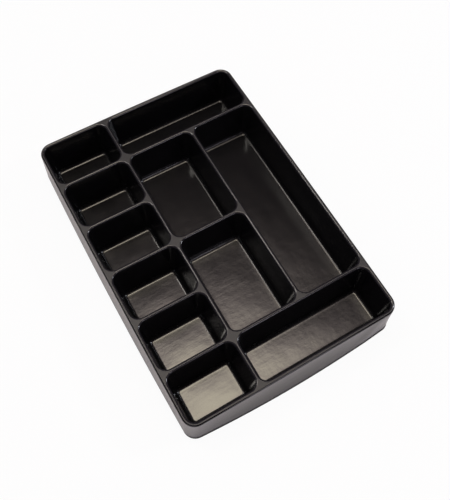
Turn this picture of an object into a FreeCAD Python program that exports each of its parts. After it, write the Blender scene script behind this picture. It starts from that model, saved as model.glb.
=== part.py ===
"""Organiser tray thermoformed from one plastic sheet.

A flat deck has eleven pockets drawn down into it and folds over into a skirt all round.  The
pockets lie on a grid of three columns and six rows: a column of six small pockets, a wide pocket
across each end of the other two columns, and two medium pockets and a long one between those.

The skin is one solid: a block with the form of the sheet's upper face, less a block with the form
of its lower face.  The same functions draw both.  X runs across the tray, Y along it and Z up, and
the origin is on the table under the middle of the tray.
"""

import FreeCAD, Part
import os
import re
from math import asin, degrees, radians

import Sketcher
from FreeCAD import Vector

COLUMNS = 3
ROWS = 6

# Cells that each pocket covers: first and last column, first and last row, from the front left.
POCKETS = {
    "small_1": (0, 0, 0, 0),
    "small_2": (0, 0, 1, 1),
    "small_3": (0, 0, 2, 2),
    "small_4": (0, 0, 3, 3),
    "small_5": (0, 0, 4, 4),
    "small_6": (0, 0, 5, 5),
    "front_wide": (1, 2, 0, 0),
    "medium_front": (1, 1, 1, 2),
    "medium_back": (1, 1, 3, 4),
    "long": (2, 2, 1, 4),
    "back_wide": (1, 2, 5, 5),
}

# Driving sizes: alias, value in millimetres or degrees, what it is.
SIZES = [
    ("tray_width", 280.0, "rim across the tray, at its ends"),
    ("tray_length", 407.0, "rim along the tray, at its ends"),
    ("tray_height", 56.0, "table to the deck's upper face"),
    ("sheet", 1.2, "thickness of the skin"),
    ("rim_corner", 16.0, "corner radius of the rim in plan"),
    ("rim_bow", 0.5, "how far each side of the rim bows out at its middle"),
    ("rim_fold", 1.8, "radius of the fold from deck to skirt"),
    ("rim_flat", 1.9, "flat of the deck between that fold and a pocket's mouth"),
    ("divider_flat", 2.5, "flat of the deck between the mouths of two pockets"),
    ("mouth_bevel", 1.0, "bevel where the deck turns down into a pocket"),
    ("draft", 7.3, "lean of the pocket walls, in degrees"),
    ("floor_corner", 4.2, "corner radius of a pocket in plan, at its floor"),
    ("floor_round", 3.6, "radius between a pocket's floor and its walls"),
    ("side_flare", 0.8, "how far the long skirts reach out at the foot, at their ends"),
    ("end_flare", 2.8, "how far the short skirts reach out at the foot, at their ends"),
    ("side_bow", 2.7, "how far the long skirts bow out at the foot"),
    ("end_bow", 5.0, "how far the short skirts bow out at the foot"),
    ("foot_corner", 15.3, "corner radius of the skirt in plan, at its foot"),
    ("trim_height", 1.0, "table to the trimmed edge of the skirt"),
]

# Sizes that follow: alias, formula, what it is.
DERIVED = [
    ("column_pitch", "=tray_width / %d" % COLUMNS, "one column of the grid"),
    ("row_pitch", "=tray_length / %d" % ROWS, "one row of the grid"),
    ("depth", "=tray_height - sheet", "deck to pocket floor, on either face of the sheet"),
    ("wall_run", "=depth * tan(draft * 1deg)", "how far a wall leans in on its way down"),
    ("skin_shift", "=sheet * tan(45deg - draft * 0.5deg)", "wall's lower face, out from its upper"),
    ("floor_blend", "=min(floor_round; 0.9 * floor_corner)", "floor radius, held to the corner's"),
    ("fold_blend", "=min(rim_fold; 1.5 * sheet)", "fold radius, held to the sheet's thickness"),
    ("bevel", "=min(mouth_bevel; sheet)", "mouth bevel, held to the sheet's thickness"),
    ("rim_band", "=fold_blend + rim_flat + bevel", "rim to the edge of a mouth"),
    ("half_divider", "=divider_flat / 2 + bevel", "grid line to the edge of a mouth"),
    ("mouth_corner", "=floor_corner + wall_run", "corner radius of a mouth in plan"),
    ("skin_corner", "=(mouth_corner + skin_shift) * (2 - sqrt(2))", "flat corner that clears it below"),
]

# Points of a sketch's elements, as the Sketcher numbers them.
START, END, CENTRE = range(1, 4)
ORIGIN = (-1, 1)
X_AXIS, Y_AXIS = -1, -2


# ---------------------------------------------------------------- sizes and sketches

def make_sizes(doc):
    """Spreadsheet with the driving sizes first and what follows from them below."""
    sheet = doc.addObject("Spreadsheet::Sheet", "Sizes")
    driving = [(alias, str(value), note) for alias, value, note in SIZES]
    for row, (alias, content, note) in enumerate(driving + DERIVED, start=1):
        sheet.set("A%d" % row, note)
        sheet.set("B%d" % row, content)
        sheet.setAlias("B%d" % row, alias)
    doc.recompute()
    return sheet


def sized(formula):
    """The formula with every alias pointed at the spreadsheet."""
    aliases = [row[0] for row in SIZES + DERIVED]
    return re.sub("[a-z_]+", lambda word: "Sizes." * (word[0] in aliases) + word[0], formula)


def number(item, formula):
    """Present value of a formula."""
    value = item.evalExpression(sized(formula))
    return getattr(value, "Value", value)


def add_sketch(body, name, height, left="0", front="0"):
    """Level sketch of a body at a height, with its own origin moved to a left and front place."""
    sketch = body.newObject("Sketcher::SketchObject", body.Name + "_" + name)
    plane = next(part for part in body.Origin.OriginFeatures if part.Role == "XY_Plane")
    sketch.AttachmentSupport = [(plane, "")]
    sketch.MapMode = "FlatFace"
    sketch.setExpression("AttachmentOffset.Base.x", sized(left))
    sketch.setExpression("AttachmentOffset.Base.y", sized(front))
    sketch.setExpression("AttachmentOffset.Base.z", sized(height))
    return sketch


def relate(sketch, *definition):
    """Constraint without a size."""
    return sketch.addConstraint(Sketcher.Constraint(*definition))


def dimension(sketch, name, formula, *definition):
    """Named size of a sketch, bound to a formula."""
    index = relate(sketch, *definition, number(sketch, formula))
    sketch.renameConstraint(index, name)
    sketch.setExpression("Constraints." + name, sized(formula))


def arc(x, y, radius, start, end):
    """Arc about a point, between two angles in degrees."""
    circle = Part.Circle(Vector(x, y, 0), Vector(0, 0, 1), radius)
    return Part.ArcOfCircle(circle, radians(start), radians(end))


def line(x1, y1, x2, y2):
    return Part.LineSegment(Vector(x1, y1, 0), Vector(x2, y2, 0))


def draw_rectangle(sketch, left, right, front, back, corner, rounded=True):
    """Four straight sides, measured from the sketch's origin, with rounded or flat corners."""
    x1, x2 = number(sketch, left), number(sketch, right)
    y1, y2 = number(sketch, front), number(sketch, back)
    c = number(sketch, corner)
    ends = [(x1 + c, y1), (x2 - c, y1), (x2, y1 + c), (x2, y2 - c),
            (x2 - c, y2), (x1 + c, y2), (x1, y2 - c), (x1, y1 + c)]
    centres = [(x2 - c, y1 + c), (x2 - c, y2 - c), (x1 + c, y2 - c), (x1 + c, y1 + c)]
    for turn, centre in enumerate(centres):
        start, end, following = ends[2 * turn], ends[2 * turn + 1], ends[(2 * turn + 2) % 8]
        sketch.addGeometry(line(*start, *end), False)
        if rounded:
            sketch.addGeometry(arc(*centre, c, 90 * turn + 270, 90 * turn + 360), False)
        else:
            sketch.addGeometry(line(*end, *following), False)

    for piece in range(8):
        relate(sketch, "Tangent" if rounded else "Coincident", piece, END, (piece + 1) % 8, START)
    for level, upright in ((0, 2), (4, 6)):
        relate(sketch, "Horizontal", level)
        relate(sketch, "Vertical", upright)
    dimension(sketch, "left", left, "DistanceX", *ORIGIN, 6, START)
    dimension(sketch, "right", right, "DistanceX", *ORIGIN, 2, START)
    dimension(sketch, "front", front, "DistanceY", *ORIGIN, 0, START)
    dimension(sketch, "back", back, "DistanceY", *ORIGIN, 4, START)
    if rounded:
        dimension(sketch, "corner", corner, "Radius", 1)
        for other in (3, 5, 7):
            relate(sketch, "Equal", 1, other)
    else:
        rightward = {1: (START, END), 3: (END, START), 5: (END, START), 7: (START, END)}
        backward = {1: (START, END), 3: (START, END), 5: (END, START), 7: (END, START)}
        for flat in (1, 3, 5, 7):
            for way, (near, far) in (("X", rightward[flat]), ("Y", backward[flat])):
                dimension(sketch, "flat_%d_%s" % (flat, way), corner,
                          "Distance" + way, flat, near, flat, far)


def draw_bowed_outline(sketch, half_x, half_y, bow_x, bow_y, corner, inset):
    """Four long arcs for the sides joined by four tangent corners, about the sketch's origin.

    A side stands out by its bow halfway between its corners.  The inset moves the whole outline
    in, for the lower face of the sheet.
    """
    radius_x = "(((%s - %s) ^ 2 + %s ^ 2) / (2 * %s))" % (half_y, corner, bow_x, bow_x)
    radius_y = "(((%s - %s) ^ 2 + %s ^ 2) / (2 * %s))" % (half_x, corner, bow_y, bow_y)
    centre_x = "%s - %s - %s" % (radius_x, half_x, bow_x)
    centre_y = "%s - %s - %s" % (radius_y, half_y, bow_y)

    rx, ry = number(sketch, radius_x), number(sketch, radius_y)
    far_x, far_y = number(sketch, centre_x), number(sketch, centre_y)
    r, skin = number(sketch, corner), number(sketch, inset)
    x, y = number(sketch, half_x) - r, number(sketch, half_y) - r
    tilt_x, tilt_y = degrees(asin(y / rx)), degrees(asin(x / ry))
    sketch.addGeometry([
        arc(-far_x, 0, rx - skin, -tilt_x, tilt_x),
        arc(x, y, r - skin, tilt_x, 90 - tilt_y),
        arc(0, -far_y, ry - skin, 90 - tilt_y, 90 + tilt_y),
        arc(-x, y, r - skin, 90 + tilt_y, 180 - tilt_x),
        arc(far_x, 0, rx - skin, 180 - tilt_x, 180 + tilt_x),
        arc(-x, -y, r - skin, 180 + tilt_x, 270 - tilt_y),
        arc(0, far_y, ry - skin, 270 - tilt_y, 270 + tilt_y),
        arc(x, -y, r - skin, 270 + tilt_y, 360 - tilt_x),
    ], False)
    right, back, left, front = 0, 2, 4, 6
    for piece in range(8):
        relate(sketch, "Tangent", piece, END, (piece + 1) % 8, START)
    for side, axis in ((right, X_AXIS), (left, X_AXIS), (back, Y_AXIS), (front, Y_AXIS)):
        relate(sketch, "PointOnObject", side, CENTRE, axis)
    relate(sketch, "Equal", right, left)
    relate(sketch, "Equal", back, front)
    for other in (3, 5, 7):
        relate(sketch, "Equal", 1, other)
    dimension(sketch, "right_centre", centre_x, "DistanceX", right, CENTRE, *ORIGIN)
    dimension(sketch, "left_centre", centre_x, "DistanceX", *ORIGIN, left, CENTRE)
    dimension(sketch, "back_centre", centre_y, "DistanceY", back, CENTRE, *ORIGIN)
    dimension(sketch, "front_centre", centre_y, "DistanceY", *ORIGIN, front, CENTRE)
    dimension(sketch, "side_radius", radius_x + " - " + inset, "Radius", right)
    dimension(sketch, "end_radius", radius_y + " - " + inset, "Radius", back)
    dimension(sketch, "corner_radius", corner + " - " + inset, "Radius", 1)


# ---------------------------------------------------------------- features of a block

def add_block(body, inset):
    """Skirted block: the rim's outline at the deck, lofted down to the wider foot on the table."""
    rim = add_sketch(body, "rim", "tray_height - " + inset)
    draw_bowed_outline(rim, "tray_width / 2", "tray_length / 2", "rim_bow", "rim_bow",
                       "rim_corner", inset)
    foot = add_sketch(body, "foot", "0")
    draw_bowed_outline(foot, "(tray_width / 2 + side_flare)", "(tray_length / 2 + end_flare)",
                       "side_bow", "end_bow", "foot_corner", inset)
    block = body.newObject("PartDesign::AdditiveLoft", body.Name + "_block")
    block.Profile = rim
    block.Sections = [foot]
    block.Ruled = True
    return block


def mouth_edge(index, last, pitch, side, shift):
    """Place of a pocket's mouth on one side of a grid line, before its edge is bevelled."""
    margin = "half_divider" if 0 < index < last else "rim_band"
    return "%d * %s %s (%s - %s)" % (index, pitch, side, margin, shift)


def add_pocket(body, name, cells, top, shift, corner, rounded):
    """Drafted pocket: its corners narrow on the way down, as the walls lean in."""
    first_column, last_column, first_row, last_row = cells
    mouth = add_sketch(body, name + "_mouth", top, "0 - tray_width / 2", "0 - tray_length / 2")
    draw_rectangle(
        mouth,
        mouth_edge(first_column, COLUMNS, "column_pitch", "+", shift),
        mouth_edge(last_column + 1, COLUMNS, "column_pitch", "-", shift),
        mouth_edge(first_row, ROWS, "row_pitch", "+", shift),
        mouth_edge(last_row + 1, ROWS, "row_pitch", "-", shift),
        corner, rounded)
    pocket = body.newObject("PartDesign::Pocket", body.Name + "_" + name)
    pocket.Profile = mouth
    pocket.setExpression("Length", sized("depth"))
    pocket.setExpression("TaperAngle", sized("0 - draft"))
    return pocket


def add_all_pockets(body, base, **drawing):
    """Every pocket in turn, each seen to take material away."""
    for name, cells in POCKETS.items():
        volume = base.Shape.Volume
        base = add_pocket(body, name, cells, **drawing)
        body.Document.recompute()
        if base.Shape.Volume >= volume:
            raise RuntimeError(name + " cuts nothing")
    return base


def level_edges(shape, height):
    """Edges of a shape that lie in one level plane, by name."""
    found = {}
    for place, edge in enumerate(shape.Edges, start=1):
        box = edge.BoundBox
        if abs(box.ZMin - height) < 1e-4 and abs(box.ZMax - height) < 1e-4:
            found["Edge%d" % place] = edge
    return found


def soften(body, kind, name, base, edges, size_property, formula):
    """Fillet or chamfer along named edges of a feature."""
    feature = body.newObject("PartDesign::" + kind, body.Name + "_" + name)
    feature.Base = (base, list(edges))
    feature.setExpression(size_property, sized(formula))
    body.Document.recompute()
    return feature


def add_trim(body):
    """Slab from below the table up to the skirt's trimmed edge, wider than the foot all round."""
    slab = add_sketch(body, "slab", "trim_height")
    half_x = "(tray_width / 2 + side_flare + 2 * side_bow + sheet)"
    half_y = "(tray_length / 2 + end_flare + 2 * end_bow + sheet)"
    draw_rectangle(slab, "0 - " + half_x, half_x, "0 - " + half_y, half_y, "sheet")
    trim = body.newObject("PartDesign::Pad", body.Name + "_trim")
    trim.Profile = slab
    trim.Reversed = True
    trim.setExpression("Length", sized("trim_height + sheet"))
    return trim


# ---------------------------------------------------------------- the two faces of the sheet

def make_upper_block(doc):
    """Solid tray with the form of the sheet's upper face."""
    body = doc.addObject("PartDesign::Body", "upper_face")
    block = add_block(body, "0")
    doc.recompute()
    deck = number(body, "tray_height")
    fold = soften(body, "Fillet", "fold", block, level_edges(block.Shape, deck),
                  "Radius", "fold_blend")
    outline = list(level_edges(fold.Shape, deck).values())
    pockets = add_all_pockets(body, fold, top="tray_height", shift="0", corner="mouth_corner",
                              rounded=True)
    floors = soften(body, "Fillet", "floors", pockets,
                    level_edges(pockets.Shape, number(body, "sheet")), "Radius", "floor_blend")
    mouths = {
        name: edge for name, edge in level_edges(floors.Shape, deck).items()
        if not any(edge.distToShape(rim)[0] < 1e-4 for rim in outline)
    }
    body.Tip = soften(body, "Chamfer", "mouths", floors, mouths, "Size", "bevel")
    return body


def make_lower_block(doc):
    """Solid tray with the form of the sheet's lower face, and all that lies under the skirt.

    Its pockets have plain flat corners, which leave the sheet its thickness at their middles.
    """
    body = doc.addObject("PartDesign::Body", "lower_face")
    add_trim(body)
    block = add_block(body, "sheet")
    doc.recompute()
    body.Tip = add_all_pockets(body, block, top="tray_height - sheet", shift="skin_shift",
                               corner="skin_corner", rounded=False)
    return body


def make_tray(doc):
    """The skin between the two faces."""
    upper = make_upper_block(doc)
    lower = make_lower_block(doc)
    tray = doc.addObject("Part::Cut", "tray")
    tray.Label = "tray"
    tray.Base = upper
    tray.Tool = lower
    tray.Placement = FreeCAD.Placement()
    return tray


# ---------------------------------------------------------------- check and export

def check(doc, parts):
    for item in doc.Objects:
        if {"Invalid", "Error"} & set(item.State):
            raise RuntimeError("%s failed: %s" % (item.Name, item.State))
    for item in parts:
        if item.Shape.isNull() or not item.Shape.isValid() or len(item.Shape.Solids) != 1:
            raise RuntimeError(item.Label + " is not one valid solid")


def main():
    doc = FreeCAD.newDocument("organiser_tray")
    make_sizes(doc)
    parts = [make_tray(doc)]
    doc.recompute()
    check(doc, parts)
    os.makedirs("parts", exist_ok=True)
    for item in parts:
        item.Shape.exportStep("parts/%s.step" % item.Label)
        box = item.Shape.BoundBox
        print("%s: %.1f x %.1f x %.1f mm, %.0f mm3, %d faces" % (
            item.Label, box.XLength, box.YLength, box.ZLength, item.Shape.Volume,
            len(item.Shape.Faces)))


main()
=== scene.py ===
from math import asin, atan2, cos, exp, pi, radians, sin, tan

import bmesh
import bpy
from mathutils import Matrix, Vector


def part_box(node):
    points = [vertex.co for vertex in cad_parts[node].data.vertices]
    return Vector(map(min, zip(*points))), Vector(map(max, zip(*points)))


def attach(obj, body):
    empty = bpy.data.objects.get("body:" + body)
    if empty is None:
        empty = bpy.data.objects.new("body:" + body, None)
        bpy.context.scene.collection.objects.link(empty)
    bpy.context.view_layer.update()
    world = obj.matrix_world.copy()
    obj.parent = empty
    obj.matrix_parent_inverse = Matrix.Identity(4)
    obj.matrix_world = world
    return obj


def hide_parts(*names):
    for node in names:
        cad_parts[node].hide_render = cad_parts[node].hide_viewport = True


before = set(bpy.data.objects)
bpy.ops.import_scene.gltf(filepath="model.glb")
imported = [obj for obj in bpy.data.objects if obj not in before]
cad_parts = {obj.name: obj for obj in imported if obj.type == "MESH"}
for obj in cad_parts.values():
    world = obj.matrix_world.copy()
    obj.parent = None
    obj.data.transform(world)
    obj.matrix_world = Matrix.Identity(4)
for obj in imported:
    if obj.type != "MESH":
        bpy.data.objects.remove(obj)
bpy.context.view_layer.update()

# ---------------------------------------------------------------- pockets
# Eleven pockets, drawn down from one heated plastic sheet into a mould.  Each has a rounded
# mouth, walls that lean in so that the cold sheet lets go of the mould, and a flat floor with a
# soft edge all round.

MM = 0.001
SEAM = 0.01 * MM             # points nearer than this are one point
COLUMNS, ROWS = 3, 6
TRAY_WIDTH = 280.0 * MM
TRAY_LENGTH = 407.0 * MM
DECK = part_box("tray")[1][2]
SHEET = 1.2 * MM
DEPTH = DECK - SHEET
DRAFT = radians(7.3)
MOUTH_ROUND = 2.45 * MM
FLOOR_ROUND = 5.2 * MM
FLOOR_CROWN = 0.28 * MM
FLOOR_CORNER = 4.2 * MM
CORNER_TIGHTENING = 0.78     # radius that a corner loses for each unit its wall leans in
RIM_BAND = 4.7 * MM          # from the rim to the sharp mouth of a pocket beside it
HALF_DIVIDER = 2.25 * MM     # from a grid line to the sharp mouth beside it
CORNER_STEPS = 12
POCKET_SIDE_STEPS = 10
BEND_STEPS = 8
FLOOR_STEPS = 8

# Cells that each pocket covers: first and last column, first and last row, from the front left.
POCKETS = {
    "small_1": (0, 0, 0, 0),
    "small_2": (0, 0, 1, 1),
    "small_3": (0, 0, 2, 2),
    "small_4": (0, 0, 3, 3),
    "small_5": (0, 0, 4, 4),
    "small_6": (0, 0, 5, 5),
    "front_wide": (1, 2, 0, 0),
    "medium_front": (1, 1, 1, 2),
    "medium_back": (1, 1, 3, 4),
    "long": (2, 2, 1, 4),
    "back_wide": (1, 2, 5, 5),
}


class Wire:
    """One socket of a node tree, so that arithmetic on sockets is written as arithmetic."""

    def __init__(self, tree, socket=None):
        self.tree = tree
        self.socket = socket

    def node(self, kind, sockets=(), output=0, **settings):
        """Any node: its settings go in first, then the values or wires of its sockets."""
        made = self.tree.nodes.new(kind)
        for name, value in settings.items():
            setattr(made, name, value)
        for place, value in dict(sockets).items():
            if isinstance(value, Wire):
                value.feed(made, place)
            else:
                made.inputs[place].default_value = value
        return Wire(self.tree, made.outputs[output])

    def feed(self, node, place):
        """Leads this wire into a socket of a node that is already there."""
        self.tree.links.new(self.socket, node.inputs[place])

    def also(self, output):
        """Another output of the node that this wire comes from."""
        return Wire(self.tree, self.socket.node.outputs[output])

    def math(self, operation, *others):
        """A Math node on this wire and the others."""
        return self.node("ShaderNodeMath", enumerate((self, *others)), operation=operation)

    def __add__(self, other):
        return self.math("ADD", other)

    def __sub__(self, other):
        return self.math("SUBTRACT", other)

    def __rsub__(self, other):
        return self.math("MULTIPLY_ADD", -1.0, other)

    def __mul__(self, other):
        return self.math("MULTIPLY", other)

    def __truediv__(self, other):
        return self.math("DIVIDE", other)

    def __lt__(self, other):
        return self.math("LESS_THAN", other)

    def __gt__(self, other):
        return self.math("GREATER_THAN", other)

    __radd__ = __add__
    __rmul__ = __mul__

    def choose(self, if_one, if_zero):
        """The first value where this wire is 1, the second where it is 0."""
        return self * if_one + (1 - self) * if_zero

    def mix(self, at_zero, at_one):
        """A colour that goes from the first to the second as this wire goes from 0 to 1."""
        return self.node("ShaderNodeMix", {0: self, 6: at_zero, 7: at_one},
                         output=2, data_type="RGBA")


def make_pocket_tree():
    """Tree that adds one drawn pocket to the geometry that comes in."""
    tree = bpy.data.node_groups.new("drawn_pocket", "GeometryNodeTree")
    tree.is_modifier = True
    tree.interface.new_socket("Geometry", in_out="OUTPUT", socket_type="NodeSocketGeometry")
    tree.interface.new_socket("Geometry", in_out="INPUT", socket_type="NodeSocketGeometry")
    for name in ("Middle X", "Middle Y", "Half Width", "Half Length", "Deck", "Depth", "Draft",
                 "Mouth Corner", "Mouth Round", "Floor Round", "Tightening", "Floor Crown"):
        tree.interface.new_socket(name, in_out="INPUT", socket_type="NodeSocketFloat")
    for name in ("Corner Steps", "Side Steps", "Bend Steps", "Floor Steps"):
        tree.interface.new_socket(name, in_out="INPUT", socket_type="NodeSocketInt")
    tree.interface.new_socket("Plastic", in_out="INPUT", socket_type="NodeSocketMaterial")
    entry = tree.nodes.new("NodeGroupInput")
    given = {socket.name: Wire(tree, socket) for socket in entry.outputs if socket.name}
    nodes = Wire(tree)

    # A net of rings, one for each level from the deck down to the floor and in to its middle,
    # each starting and ending at the same point.  The nudge keeps a whole number that is a
    # little short from being floored to the one below.
    nudge = 0.0001
    corner_steps, bend_steps = given["Corner Steps"], given["Bend Steps"]
    last_bend = bend_steps * 2 + 1
    quarter = corner_steps + given["Side Steps"]
    ring_points = quarter * 4 + 1
    net = nodes.node("GeometryNodeMeshGrid", {
        "Vertices X": last_bend + given["Floor Steps"] + 1, "Vertices Y": ring_points})
    index = nodes.node("GeometryNodeInputIndex")
    level = (index / ring_points + nudge).math("FLOOR")
    place = index - level * ring_points

    # Level to how far in from the sharp mouth and how far down from the deck.
    draft, depth = given["Draft"], given["Depth"]
    swing = pi / 2 - draft
    mouth, floor = given["Mouth Round"], given["Floor Round"]
    back_off = (swing / 2).math("TANGENT")
    roll = level / bend_steps * swing
    mouth_inset = mouth * (roll.math("SINE") - back_off)
    mouth_drop = mouth * (1 - roll.math("COSINE"))
    lean = draft + ((level - bend_steps - 1) / bend_steps).math("MINIMUM", 1.0) * swing
    wall_drop = depth - floor + floor * draft.math("SINE")
    floor_inset = (wall_drop * draft.math("TANGENT") + floor * draft.math("COSINE")
                   - floor * lean.math("COSINE"))
    floor_drop = depth - floor + floor * lean.math("SINE")
    in_mouth = level < bend_steps + 0.5
    inset = in_mouth.choose(mouth_inset, floor_inset)
    drop = in_mouth.choose(mouth_drop, floor_drop)

    # Place on a ring to one of four corner arcs, which tighten towards the floor, or to the
    # straight side that follows the arc.
    corner = (place / quarter + nudge).math("FLOOR")
    turned = place - corner * quarter
    angle = (corner + (turned / corner_steps).math("MINIMUM", 1.0)) * (pi / 2)
    slid = ((turned - corner_steps) / given["Side Steps"]).math("MAXIMUM", 0.0)
    here = (corner + 0.5) * (pi / 2)
    ahead = (corner + 1.5) * (pi / 2)
    radius = given["Mouth Corner"] - inset * given["Tightening"]
    centre_x = given["Half Width"] - inset - radius
    centre_y = given["Half Length"] - inset - radius
    side_x = (here.math("COSINE").math("SIGN") * (1 - slid)
              + ahead.math("COSINE").math("SIGN") * slid)
    side_y = (here.math("SINE").math("SIGN") * (1 - slid)
              + ahead.math("SINE").math("SIGN") * slid)
    across = side_x * centre_x + radius * angle.math("COSINE")
    along = side_y * centre_y + radius * angle.math("SINE")

    # The floor runs in to the middle and crowns up a little, as the sheet does when it cools.
    share = ((level - last_bend) / given["Floor Steps"]).math("MAXIMUM", 0.0)
    near_x = across * (1 - share) / (centre_x + radius)
    near_y = along * (1 - share) / (centre_y + radius)
    crown = given["Floor Crown"] * (1 - near_x * near_x) * (1 - near_y * near_y)
    point = nodes.node("ShaderNodeCombineXYZ", {
        "X": given["Middle X"] + across * (1 - share),
        "Y": given["Middle Y"] + along * (1 - share),
        "Z": given["Deck"] - drop + crown * share.math("SIGN")})
    formed = nodes.node("GeometryNodeSetPosition", {"Geometry": net, "Position": point})
    closed = nodes.node("GeometryNodeMergeByDistance", {"Geometry": formed, "Distance": SEAM})
    facing = nodes.node("GeometryNodeFlipFaces", {"Mesh": closed})
    joined = nodes.node("GeometryNodeJoinGeometry", {0: facing})
    given["Geometry"].feed(joined.socket.node, 0)
    real = nodes.node("GeometryNodeRealizeInstances", {0: joined})
    coated = nodes.node("GeometryNodeSetMaterial", {
        "Geometry": real, "Material": given["Plastic"]})
    coated.feed(tree.nodes.new("NodeGroupOutput"), 0)
    return tree


pocket_tree = make_pocket_tree()
plastic = bpy.data.materials.new("satin_black_sheet")
plastic.use_nodes = True


def pocket_side(line, cells, size, inward):
    """Place of a pocket's sharp mouth beside a grid line, from the middle of the tray."""
    margin = HALF_DIVIDER if 0 < line < cells else RIM_BAND
    return (line / cells - 0.5) * size + inward * margin


pocket_walls = bpy.data.objects.new("pocket_walls", bpy.data.meshes.new("pocket_walls"))
bpy.context.collection.objects.link(pocket_walls)
for name, (first_column, last_column, first_row, last_row) in POCKETS.items():
    left = pocket_side(first_column, COLUMNS, TRAY_WIDTH, 1)
    right = pocket_side(last_column + 1, COLUMNS, TRAY_WIDTH, -1)
    front = pocket_side(first_row, ROWS, TRAY_LENGTH, 1)
    back = pocket_side(last_row + 1, ROWS, TRAY_LENGTH, -1)
    sizes = {
        "Middle X": (left + right) / 2, "Middle Y": (front + back) / 2,
        "Half Width": (right - left) / 2, "Half Length": (back - front) / 2,
        "Deck": DECK, "Depth": DEPTH, "Draft": DRAFT,
        "Mouth Corner": FLOOR_CORNER + DEPTH * tan(DRAFT),
        "Mouth Round": MOUTH_ROUND, "Floor Round": FLOOR_ROUND, "Tightening": CORNER_TIGHTENING,
        "Floor Crown": FLOOR_CROWN, "Floor Steps": FLOOR_STEPS, "Side Steps": POCKET_SIDE_STEPS,
        "Corner Steps": CORNER_STEPS, "Bend Steps": BEND_STEPS, "Plastic": plastic,
    }
    pocket = pocket_walls.modifiers.new(name, "NODES")
    pocket.node_group = pocket_tree
    for socket in pocket_tree.interface.items_tree:
        if socket.name in sizes:
            pocket[socket.identifier] = sizes[socket.name]

bpy.context.view_layer.update()
walls = bpy.data.meshes.new_from_object(
    pocket_walls.evaluated_get(bpy.context.evaluated_depsgraph_get()))
bpy.data.objects.remove(pocket_walls)

# ---------------------------------------------------------------- deck, rim and skirt
# The flat of the sheet between the pockets, which folds down at the rim into a skirt that bows
# out at its foot.  The skirt's two ends hollow above a small turned-out lip, where the sheet was
# cut free just above the table, and a shallow shoulder stands near the front right corner.

RIM_CORNER = 16.0 * MM
RIM_BOW = 0.5 * MM
RIM_FOLD = 2.2 * MM
FOOT_CORNER = 15.3 * MM
SIDE_FLARE = 0.8 * MM
END_FLARE = 2.8 * MM
SIDE_BOW = 2.7 * MM
END_BOW = 5.0 * MM
END_HOLLOW = 0.8             # 0 is a straight end; above it the flare comes lower down
SHOULDER = 1.4 * MM
SHOULDER_PLACE = 98.0 * MM   # to the right of the middle of the front, at the table
SHOULDER_SLANT = 0.25        # how far it moves right for each unit of height
SHOULDER_SPREAD = 14.0 * MM
LIP = 0.8 * MM
LIP_BEND = 1.0 * MM
LIP_GAP = 0.1 * MM           # from the table to the lip's underside
LIP_HEIGHT = SHEET + LIP_GAP
SIDE_STEPS = 96
SKIRT_ROWS = 10
LIP_STEPS = 5
FACES_DOWN = -0.999          # upward part of the normal of a face laid flat the wrong way up


def bowed_outline(half_x, half_y, bow_x, bow_y, corner):
    """Points and outward directions round an outline of four long arcs and four corners."""
    flat_x, flat_y = half_x - corner, half_y - corner
    radius_x = (flat_y ** 2 + bow_x ** 2) / (2 * bow_x)
    radius_y = (flat_x ** 2 + bow_y ** 2) / (2 * bow_y)
    tilt_x, tilt_y = asin(flat_y / radius_x), asin(flat_x / radius_y)
    arcs = [
        (half_x + bow_x - radius_x, 0, radius_x, -tilt_x, tilt_x, SIDE_STEPS),
        (flat_x, flat_y, corner, tilt_x, pi / 2 - tilt_y, CORNER_STEPS),
        (0, half_y + bow_y - radius_y, radius_y, pi / 2 - tilt_y, pi / 2 + tilt_y, SIDE_STEPS),
        (-flat_x, flat_y, corner, pi / 2 + tilt_y, pi - tilt_x, CORNER_STEPS),
    ]
    half = []
    for x, y, radius, start, end, steps in arcs:
        for step in range(steps):
            angle = start + (end - start) * step / steps
            out = Vector((cos(angle), sin(angle)))
            half.append((Vector((x, y)) + out * radius, out))
    return half + [(-point, -out) for point, out in half]


rim = bowed_outline(TRAY_WIDTH / 2, TRAY_LENGTH / 2, RIM_BOW, RIM_BOW, RIM_CORNER)
foot = bowed_outline(TRAY_WIDTH / 2 + SIDE_FLARE, TRAY_LENGTH / 2 + END_FLARE - LIP,
                     SIDE_BOW, END_BOW, FOOT_CORNER)
skin = bmesh.new()
skin.from_mesh(walls)
rings = [[] for ring in range(BEND_STEPS + 1 + SKIRT_ROWS + LIP_STEPS)]
for (edge, out), (low_edge, low_out) in zip(rim, foot):
    column = []
    endward = abs(low_out.y)
    lean = atan2((low_edge - edge).dot(out), DECK) * (1 - END_HOLLOW * endward / 2)

    # The fold of the rim, which rolls over from the flat deck to the skirt's lean.
    swing = pi / 2 - lean
    for step in range(BEND_STEPS + 1):
        roll = swing * step / BEND_STEPS
        drop = RIM_FOLD * (1 - cos(roll))
        plan = edge + out * RIM_FOLD * (sin(roll) - tan(swing / 2))
        column.append((*plan, DECK - drop))

    # The skirt, down to where the lip begins to bend.
    for row in range(1, SKIRT_ROWS + 1):
        height = DECK - drop + (LIP_HEIGHT + LIP_BEND - DECK + drop) * row / SKIRT_ROWS
        plan = edge.lerp(low_edge, ((DECK - height) / DECK) ** (1 + END_HOLLOW * endward))
        if plan.y < 0:
            beside = (plan.x - SHOULDER_PLACE - SHOULDER_SLANT * height) / SHOULDER_SPREAD
            plan += low_out * SHOULDER * exp(-beside ** 2) * sin(pi * height / DECK)
        column.append((*plan, height))

    # The lip, which turns out at the two ends only.
    for step in range(1, LIP_STEPS + 1):
        roll = pi / 2 * step / LIP_STEPS
        height = LIP_HEIGHT + LIP_BEND * (1 - sin(roll))
        column.append((*(plan + low_out * LIP * endward * (1 - cos(roll))), height))
    for ring, point in zip(rings, column):
        ring.append(skin.verts.new(point))

for upper, lower in zip(rings, rings[1:]):
    for place in range(len(upper)):
        other = (place + 1) % len(upper)
        skin.faces.new((upper[place], lower[place], lower[other], upper[other]))

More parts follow.
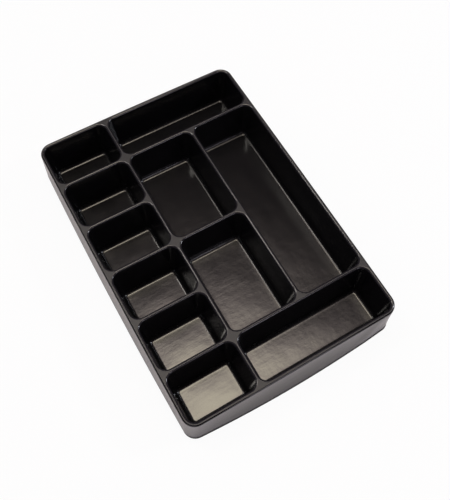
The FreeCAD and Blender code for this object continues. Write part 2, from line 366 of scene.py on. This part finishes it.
# The deck fills what lies between the open edges at its own height: the rim and the mouths.
skin.verts.ensure_lookup_table()
open_edges = [edge for edge in skin.edges
              if edge.is_boundary and edge.verts[0].co.z > DECK / 2]
bmesh.ops.triangle_fill(skin, edges=open_edges, use_beauty=True, normal=(0, 0, 1))
for face in skin.faces:
    face.smooth = True
    if face.normal.z < FACES_DOWN:
        face.normal_flip()

# ---------------------------------------------------------------- the sheet and its finish
# Pockets, deck and skirt are one sheet, with its thickness inwards from the face that is seen.
# The plastic is a satin black, duller on the deck and in the bends of the floors, a little
# uneven all over, with a painted purple-grey highlight on its tops and mouth rounds, and a few
# specks of dust.

CREASE = radians(40)         # a sharper bend than this is shaded as an edge
REFRACTION = 1.59
BLACK = (0.0022, 0.0021, 0.0028, 1)
CLOUDED_BLACK = (0.0036, 0.0034, 0.0038, 1)
# Painted highlight: this pale purple-grey stands in for the bright lines that the light draws on
# the tops and mouths.
PAINTED_HIGHLIGHT_GREY = (0.095, 0.088, 0.105, 1)
TOP_PAINTED_HIGHLIGHT = 0.14            # share of the painted highlight grey on the deck
MOUTH_PAINTED_HIGHLIGHT = 0.12          # and on the round of a pocket's mouth
DUST = (0.09, 0.085, 0.075, 1)
DUST_SPACING = 55.0          # cells to the metre, each with room for one speck
SPECK_SIZE = 0.028           # in cells
BARE_CELLS = 0.8             # share of the cells that hold none
TOP_BAND = 3 * MM            # a flat this near the deck is a top
FLAT_FROM, FLAT_TO = 0.975, 0.998     # upward part of the normal where a flat fades in
SATIN = 0.09                 # roughness, and below it what each pattern or place adds
CLOUD_ROUGH, SCUFF_ROUGH, GRAIN_ROUGH = 0.05, 0.08, 0.03
TOP_ROUGH, FLOOR_BEND_ROUGH = 0.34, 0.10
WAVE_HEIGHT, BLOTCH_HEIGHT = 0.12 * MM, 0.09 * MM
STREAK_HEIGHT, PEEL_HEIGHT = 0.05 * MM, 0.004 * MM

sheet = bpy.data.meshes.new("tray_skin")
skin.to_mesh(sheet)
skin.free()
tray_skin = bpy.data.objects.new("tray_skin", sheet)
bpy.context.collection.objects.link(tray_skin)
thick = tray_skin.modifiers.new("sheet", "SOLIDIFY")
thick.thickness = SHEET
thick.offset = -1
thick.use_even_offset = True
bpy.context.view_layer.update()
skin_mesh = bpy.data.meshes.new_from_object(
    tray_skin.evaluated_get(bpy.context.evaluated_depsgraph_get()))
tray_skin.modifiers.clear()
tray_skin.data = skin_mesh
skin_mesh.set_sharp_from_angle(angle=CREASE)
soft = tray_skin.modifiers.new("normals", "WEIGHTED_NORMAL")
soft.keep_sharp = True
skin_mesh.materials.clear()
skin_mesh.materials.append(plastic)

shader = plastic.node_tree.nodes["Principled BSDF"]
shader.inputs["IOR"].default_value = REFRACTION
plastic_nodes = Wire(plastic.node_tree)
where = plastic_nodes.node("ShaderNodeTexCoord", output="Object")
facing = where.also("Normal")


def noise(per_metre, detail=2.0, stretch=(1, 1, 1), roughness=0.5):
    """Soft noise about 0.5, with so many waves to the metre, stretched along the axes."""
    placed = where.node("ShaderNodeMapping", {"Vector": where, "Scale": stretch})
    return placed.node("ShaderNodeTexNoise", {"Vector": placed, "Scale": per_metre,
                                              "Detail": detail, "Roughness": roughness})


# Where the sheet is flat, where it is a top, the bend round a floor or the round of a mouth.
above = plastic_nodes.node("ShaderNodeSeparateXYZ", {0: where}, output="Z")
upward = plastic_nodes.node("ShaderNodeSeparateXYZ", {0: facing}, output="Z")
flat = plastic_nodes.node("ShaderNodeMapRange", {
    "Value": upward, "From Min": FLAT_FROM, "From Max": FLAT_TO})
top = flat * (DECK - TOP_BAND < above)
floor_bend = (1 - flat) * (above < SHEET + FLOOR_ROUND)
from_middle = plastic_nodes.node("ShaderNodeVectorMath", {0: where}, operation="ABSOLUTE")
sideways = plastic_nodes.node("ShaderNodeSeparateXYZ", {0: from_middle}, output="X")
inside = ((sideways < TRAY_WIDTH / 2 - RIM_FOLD)
          * (sideways.also("Y") < TRAY_LENGTH / 2 - RIM_FOLD))
high = plastic_nodes.node("ShaderNodeMapRange", {
    "Value": above, "From Min": DECK - MOUTH_ROUND, "From Max": DECK - MOUTH_ROUND / 2})
mouth_round = (1 - flat) * high * inside

cloud = noise(28.0)
grain = noise(900.0, detail=3.0)
scuff = noise(60.0, detail=4.0, stretch=(1.0, 0.18, 1.0), roughness=0.65)
rough = (SATIN + cloud * CLOUD_ROUGH + scuff * SCUFF_ROUGH + grain * GRAIN_ROUGH
         + top * TOP_ROUGH + floor_bend * FLOOR_BEND_ROUGH)
rough.feed(shader, "Roughness")

cells = plastic_nodes.node("ShaderNodeTexVoronoi", {"Vector": where, "Scale": DUST_SPACING})
pick = plastic_nodes.node("ShaderNodeSeparateColor", {0: cells.also("Color")})
dust = (cells < SPECK_SIZE) * (pick > BARE_CELLS)
# Painted highlight: the tops and the mouth rounds are mixed towards a pale grey, in place of the
# light that they catch.
painted_highlight = top * TOP_PAINTED_HIGHLIGHT + mouth_round * MOUTH_PAINTED_HIGHLIGHT
clouded = cloud.mix(BLACK, CLOUDED_BLACK)
highlighted = painted_highlight.mix(clouded, PAINTED_HIGHLIGHT_GREY)
dust.mix(highlighted, DUST).feed(shader, "Base Color")

waves = noise(34.0, detail=1.0)
blotch = noise(110.0, detail=3.0, roughness=0.6)
streak = noise(200.0, stretch=(0.12, 1.0, 1.0))
peel = noise(420.0)
relief = (waves * WAVE_HEIGHT + blotch * BLOTCH_HEIGHT + streak * STREAK_HEIGHT
          + peel * PEEL_HEIGHT)
bump = plastic_nodes.node("ShaderNodeBump", {"Strength": 1.0, "Distance": 1.0, "Height": relief})
bump.feed(shader, "Normal")

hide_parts("tray")
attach(tray_skin, "root")

# ---------------------------------------------------------------- table
# A large white table top.  In view it is nearly plain white, with a trace of its own matt
# paint, so that it keeps the tray's shadow.

TABLE_SIZE = 6.0
TABLE_PAINT = (0.78, 0.76, 0.76, 1)
WHITE = (1, 1, 1, 1)
PLAIN_SHARE = 0.93           # how much of the table in view is plain white

half = TABLE_SIZE / 2
table_mesh = bpy.data.meshes.new("table")
table_mesh.from_pydata([(-half, -half, 0), (half, -half, 0), (half, half, 0), (-half, half, 0)],
                       [], [(0, 1, 2, 3)])
table = bpy.data.objects.new("table", table_mesh)
bpy.context.collection.objects.link(table)
paint = bpy.data.materials.new("white_table")
paint.use_nodes = True
paint.node_tree.nodes.remove(paint.node_tree.nodes["Principled BSDF"])
table_nodes = Wire(paint.node_tree)
seen = table_nodes.node("ShaderNodeLightPath", output="Is Camera Ray")
matt = table_nodes.node("ShaderNodeBsdfDiffuse", {"Color": TABLE_PAINT})
glow = table_nodes.node("ShaderNodeEmission", {"Color": WHITE, "Strength": 1.0})
face = table_nodes.node("ShaderNodeMixShader", {0: seen * PLAIN_SHARE, 1: matt, 2: glow})
face.feed(paint.node_tree.nodes["Material Output"], "Surface")
table_mesh.materials.append(paint)

# ---------------------------------------------------------------- studio light
# A warm soft patch overhead, which the floors mirror, in a dim room that is a little brighter
# to the back left.  Three round soft lamps draw the bright lines along the mouths and floors.

PATCH_AIM = (0.08, 0.09, 1.0)
PATCH_WIDTH = 0.15           # in radians
PATCH_EDGE = 2.25            # 2 fades as a bell does; more is flatter, with a harder edge
PATCH_STRENGTH = 8.5
PATCH_COLOUR = (1.0, 0.90, 0.70, 1)
ROOM_STRENGTH = 0.50         # as light on the tray
ROOM_COLOUR = (0.95, 0.90, 1.0, 1)
MIRRORED_STRENGTH = 0.07     # as the tray mirrors it
MIRRORED_COLOUR = (1.0, 0.82, 0.86, 1)
BRIGHTER_TO = (-0.7, 0.5, 0.0)

# Name, place, width, power and colour of the lamps.
LAMPS = (
    ("back_left", (-0.50, 0.64, 1.85), 0.46, 7.0, (1.0, 0.95, 0.88)),
    ("right", (1.6, -0.60, 1.30), 0.34, 12.0, (0.90, 0.92, 1.0)),
    ("front", (0.5, -2.15, 1.15), 0.66, 4.8, (0.95, 0.89, 1.0)),
)

world = bpy.data.worlds.new("studio")
bpy.context.scene.world = world
world.use_nodes = True
world_nodes = Wire(world.node_tree)
seen = world_nodes.node("ShaderNodeLightPath", output="Is Camera Ray")
mirrored = seen.also("Is Glossy Ray")
direction = world_nodes.node("ShaderNodeTexCoord", output="Generated")
overhead = world_nodes.node("ShaderNodeVectorMath", {0: direction, 1: PATCH_AIM},
                            output="Value", operation="DOT_PRODUCT")
away = overhead.math("MINIMUM", 1.0).math("ARCCOSINE")
patch = ((away / PATCH_WIDTH).math("POWER", PATCH_EDGE) * -1).math("EXPONENT")
leftward = world_nodes.node("ShaderNodeVectorMath", {0: direction, 1: BRIGHTER_TO},
                            output="Value", operation="DOT_PRODUCT")
room = mirrored.choose(MIRRORED_STRENGTH, (leftward + 1) * ROOM_STRENGTH)
room_colour = mirrored.mix(ROOM_COLOUR, MIRRORED_COLOUR)
backdrop = world.node_tree.nodes["Background"]
seen.mix(patch.mix(room_colour, PATCH_COLOUR), WHITE).feed(backdrop, "Color")
seen.choose(1.0, patch * PATCH_STRENGTH + room).feed(backdrop, "Strength")

for name, place, width, power, colour in LAMPS:
    lamp_data = bpy.data.lights.new(name, "AREA")
    lamp_data.shape = "DISK"
    lamp_data.size = width
    lamp_data.energy = power
    lamp_data.color = colour
    lamp = bpy.data.objects.new(name, lamp_data)
    lamp.location = place
    lamp.rotation_euler = lamp.location.to_track_quat("Z", "Y").to_euler()
    bpy.context.collection.objects.link(lamp)

# ---------------------------------------------------------------- camera
# It stands above the front left corner and looks down into the pockets, turned a little
# about its own line of sight.

LENS = 50.58
SHIFT_X, SHIFT_Y = -0.0043, -0.0924
CAMERA_PLACE = (-0.1910, -0.3311, 0.8268)
LINE_OF_SIGHT = Vector((0.2567, 0.3948, -0.8822))
CAMERA_ROLL = radians(3.3)

camera_data = bpy.data.cameras.new("camera")
camera_data.lens = LENS
camera_data.shift_x = SHIFT_X
camera_data.shift_y = SHIFT_Y
camera = bpy.data.objects.new("camera", camera_data)
camera.matrix_world = (Matrix.Translation(CAMERA_PLACE)
                       @ LINE_OF_SIGHT.to_track_quat("-Z", "Y").to_matrix().to_4x4()
                       @ Matrix.Rotation(CAMERA_ROLL, 4, "Z"))
bpy.context.collection.objects.link(camera)
bpy.context.scene.camera = camera
bpy.context.scene.view_settings.view_transform = "Standard"
